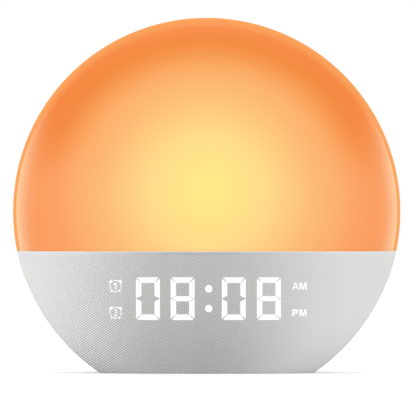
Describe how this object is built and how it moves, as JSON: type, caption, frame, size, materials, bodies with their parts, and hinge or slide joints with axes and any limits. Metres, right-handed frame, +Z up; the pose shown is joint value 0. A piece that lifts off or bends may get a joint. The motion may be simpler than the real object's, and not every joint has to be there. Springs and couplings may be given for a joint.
{
  "type": "sunrise alarm clock",
  "caption": "Round sunrise alarm clock: a glowing opal lamp over a cloth-covered base with a lit time display, with keys, speaker and USB-C inlet at the rear and a snooze bar on top.",
  "frame": {"origin": "on the table under the middle of the clock", "axes": "+Z up, the front with the display faces -Y, +X to the right seen from the front"},
  "size_m": [0.18, 0.0778, 0.165],
  "materials": {
    "diffuser": "opal acrylic, satin, lit from behind",
    "ring": "moulded opal plastic, lit through",
    "deck": "moulded plastic, satin",
    "cloth": "fine woven polyester mesh",
    "baffle": "moulded ABS, dark",
    "guides": "clear light guides with a milky face",
    "chips": "epoxy packages",
    "leds": "surface mounted lights",
    "circuit": "glass epoxy circuit board, green lacquer",
    "lamp_circuit": "aluminium backed board, white lacquer",
    "tray": "white reflective ABS",
    "can": "drawn can",
    "brass_spacer": "turned",
    "screw_steel": "zinc plated",
    "casing": "moulded ABS, fine spark texture",
    "key": "moulded ABS, satin",
    "pad": "moulded silicone",
    "holder": "moulded nylon",
    "cell": "nickel plated can",
    "speaker_metal": "pressed steel, black lacquer",
    "magnet": "sintered ferrite",
    "pole": "zinc plated steel",
    "cone": "pressed paper",
    "coil": "enamelled wire on a former",
    "foam": "foam and rubber",
    "lead": "insulated leads"
  },
  "bodies": {
    "root": {"light_diffuser": "diffuser", "diffuser_ring": "ring", "lamp_deck": "deck", "deck_screws": "screw_steel", "fabric_cover": "cloth", "front_baffle": "baffle", "display_mask": "baffle", "digit_guides": "guides", "icon_guides": "guides", "display_leds": "leds", "display_board": "circuit", "main_board": "circuit", "board_standoffs": "brass_spacer", "board_screws": "screw_steel", "board_header": "baffle", "main_board_chips": "chips", "board_capacitors": "can", "board_connectors": "chips", "reflector_tray": "tray", "light_board": "lamp_circuit", "light_leds": "leds", "base_plate": "casing", "base_screws": "screw_steel", "base_pad": "pad", "battery_door": "casing", "battery_door_screw": "screw_steel", "coin_cell": "cell", "cell_holder": "holder", "cell_contact": "cell", "rear_housing": "casing", "casing_screws": "screw_steel", "button_board": "circuit", "button_switches": "chips", "snooze_board": "circuit", "snooze_switch": "chips", "small_screws": "screw_steel", "speaker_basket": "speaker_metal", "speaker_gasket": "foam", "speaker_magnet": "magnet", "speaker_pole": "pole", "speaker_surround": "foam", "power_inlet": "cell", "power_board": "circuit", "light_lead": "lead", "speaker_lead": "lead", "power_lead": "lead", "snooze_lead": "lead", "button_ribbon": "lead"},
    "key_alarm_one": {"key_alarm_one": "key"},
    "key_alarm_two": {"key_alarm_two": "key"},
    "key_set": {"key_set": "key"},
    "key_minus": {"key_minus": "key"},
    "key_sound": {"key_sound": "key"},
    "key_plus": {"key_plus": "key"},
    "snooze_bar": {"snooze_bar": "key"},
    "speaker_diaphragm": {"speaker_cone": "cone", "voice_coil": "coil"}
  },
  "joints": [
    {"name": "key_alarm_one_press", "type": "slide", "parent": "root", "child": "key_alarm_one", "axis": [0, -1, 0], "range_m": [0, 0.0005], "stiffness_N_per_m": 1500, "springref_m": -0.0005},
    {"name": "key_alarm_two_press", "type": "slide", "parent": "root", "child": "key_alarm_two", "axis": [0, -1, 0], "range_m": [0, 0.0005], "stiffness_N_per_m": 1500, "springref_m": -0.0005},
    {"name": "key_set_press", "type": "slide", "parent": "root", "child": "key_set", "axis": [0, -1, 0], "range_m": [0, 0.0005], "stiffness_N_per_m": 1500, "springref_m": -0.0005},
    {"name": "key_minus_press", "type": "slide", "parent": "root", "child": "key_minus", "axis": [0, -1, 0], "range_m": [0, 0.0005], "stiffness_N_per_m": 1500, "springref_m": -0.0005},
    {"name": "key_sound_press", "type": "slide", "parent": "root", "child": "key_sound", "axis": [0, -1, 0], "range_m": [0, 0.0005], "stiffness_N_per_m": 1500, "springref_m": -0.0005},
    {"name": "key_plus_press", "type": "slide", "parent": "root", "child": "key_plus", "axis": [0, -1, 0], "range_m": [0, 0.0005], "stiffness_N_per_m": 1500, "springref_m": -0.0005},
    {"name": "snooze_press", "type": "slide", "parent": "root", "child": "snooze_bar", "axis": [0, 0, -1], "range_m": [0, 0.001], "stiffness_N_per_m": 1200, "springref_m": -0.001},
    {"name": "diaphragm_stroke", "type": "slide", "parent": "root", "child": "speaker_diaphragm", "axis": [0, 1, 0], "range_m": [-0.0008, 0.0008], "stiffness_N_per_m": 1500, "deforming": ["speaker_surround"]}
  ]
}
